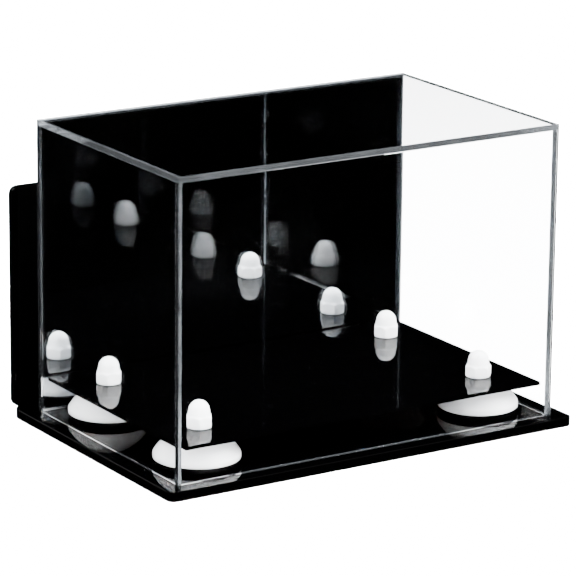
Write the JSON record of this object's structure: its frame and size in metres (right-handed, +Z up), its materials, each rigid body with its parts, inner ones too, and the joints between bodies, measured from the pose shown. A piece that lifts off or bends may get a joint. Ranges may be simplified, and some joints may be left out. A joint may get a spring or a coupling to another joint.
{
  "type": "football display case",
  "caption": "Clear lift-off display cover with a mirrored back, on a black base with a wall plate and a raised platform on white risers.",
  "frame": {"origin": "centre of the underside of the base", "axes": "+Z up; +X to the right across the width, seen from the front; +Y to the back, towards the wall"},
  "size_m": [0.37, 0.25, 0.2442],
  "materials": {
    "black_acrylic": "polished black acrylic sheet, mirror-like gloss, polished edges",
    "black_riser_disc": "glossy black moulded plastic disc",
    "white_plastic": "glossy white moulded plastic",
    "white_nylon": "satin white nylon",
    "screw_steel": "plain zinc plated steel",
    "clear_acrylic": "polished clear acrylic sheet",
    "mirror_acrylic": "acrylic mirror, silvered on its back face"
  },
  "bodies": {
    "base": {"base_plate": "black_acrylic", "wall_mount_plate": "black_acrylic", "wall_plate_screws": "screw_steel", "display_platform": "black_acrylic", "riser_bolts": "white_nylon", "riser_pad_front_left": "black_riser_disc", "riser_pad_front_right": "black_riser_disc", "riser_pad_rear_left": "black_riser_disc", "riser_pad_rear_right": "black_riser_disc", "riser_dome_front_left": "white_plastic", "riser_dome_front_right": "white_plastic", "riser_dome_rear_left": "white_plastic", "riser_dome_rear_right": "white_plastic", "cap_nut_front_left": "white_nylon", "cap_nut_front_right": "white_nylon", "cap_nut_rear_left": "white_nylon", "cap_nut_rear_right": "white_nylon"},
    "cover": {"cover_front_panel": "clear_acrylic", "cover_left_panel": "clear_acrylic", "cover_right_panel": "clear_acrylic", "cover_top_panel": "clear_acrylic", "cover_mirror_back": "mirror_acrylic"}
  },
  "joints": [
    {"name": "cover_lift", "type": "slide", "parent": "base", "child": "cover", "axis": [0, 0, 1], "range_m": [0, 0.26]}
  ]
}
